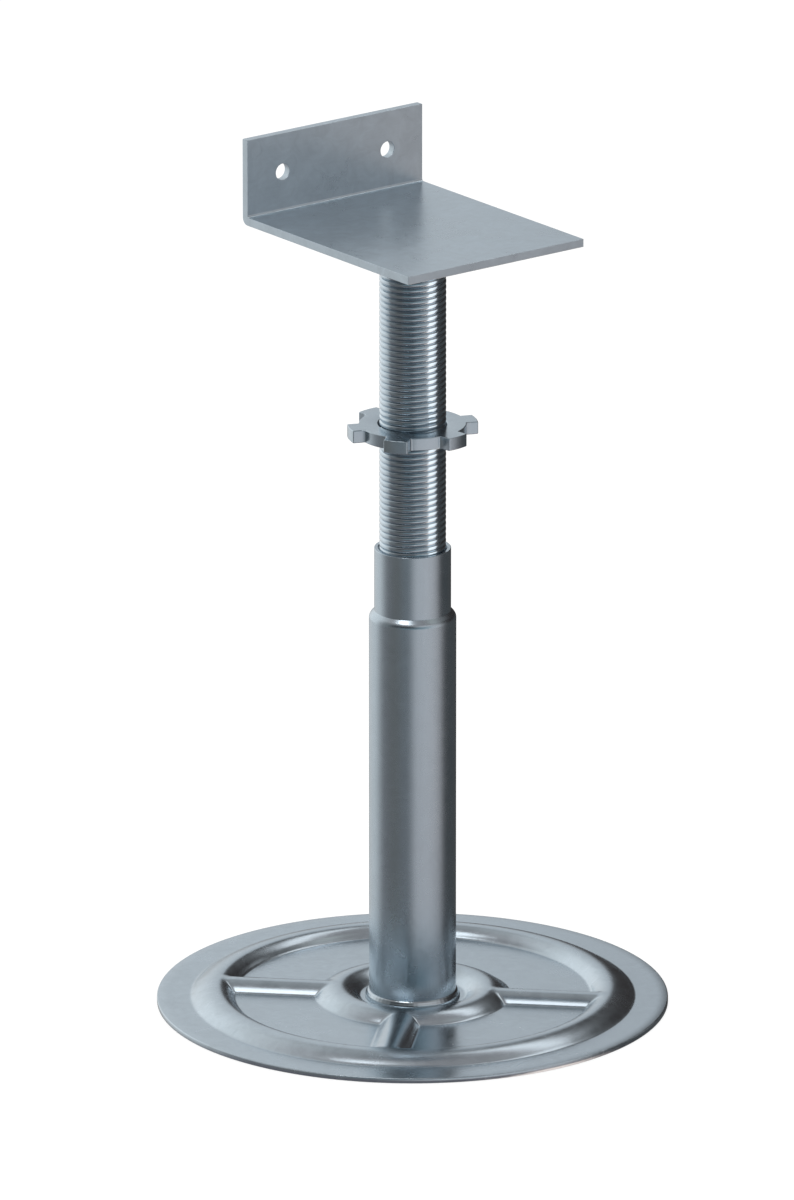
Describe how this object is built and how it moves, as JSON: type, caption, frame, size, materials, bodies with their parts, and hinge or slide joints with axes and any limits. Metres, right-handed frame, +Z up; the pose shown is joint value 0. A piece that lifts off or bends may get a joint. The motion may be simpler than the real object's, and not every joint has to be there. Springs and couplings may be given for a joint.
{
  "type": "decking pedestal",
  "caption": "Screw-adjusted steel pedestal for a deck joist: pressed round base plate, tube with a threaded neck, threaded spindle with a lugged lock nut, and an angle bracket head.",
  "frame": {"origin": "centre of the base plate's underside, on the spindle's axis", "axes": "+Z up the spindle, +X along the bracket's fold, the bracket's upright flange on the +Y side"},
  "size_m": [0.2, 0.2, 0.3457],
  "materials": {
    "plate_zinc": "satin zinc coating on pressed sheet",
    "tube_zinc": "satin zinc coating on drawn tube",
    "spindle_zinc": "bright zinc coating on a rolled thread",
    "nut_zinc": "satin zinc coating",
    "bracket_zinc": "satin zinc coating on folded sheet",
    "weld_zinc": "glossy zinc coating over a weld bead"
  },
  "bodies": {
    "foot": {"base_plate": "plate_zinc", "outer_tube": "tube_zinc", "foot_weld": "weld_zinc"},
    "spindle": {"threaded_spindle": "spindle_zinc", "head_bracket": "bracket_zinc", "head_weld": "weld_zinc"},
    "nut": {"lock_nut": "nut_zinc"}
  },
  "joints": [
    {"name": "spindle_lift", "type": "slide", "parent": "foot", "child": "spindle", "axis": [0, 0, 1], "range_m": [-0.045, 0.045]},
    {"name": "nut_travel", "type": "slide", "parent": "foot", "child": "nut", "axis": [0, 0, 1], "range_m": [-0.0451, 0.025]}
  ]
}
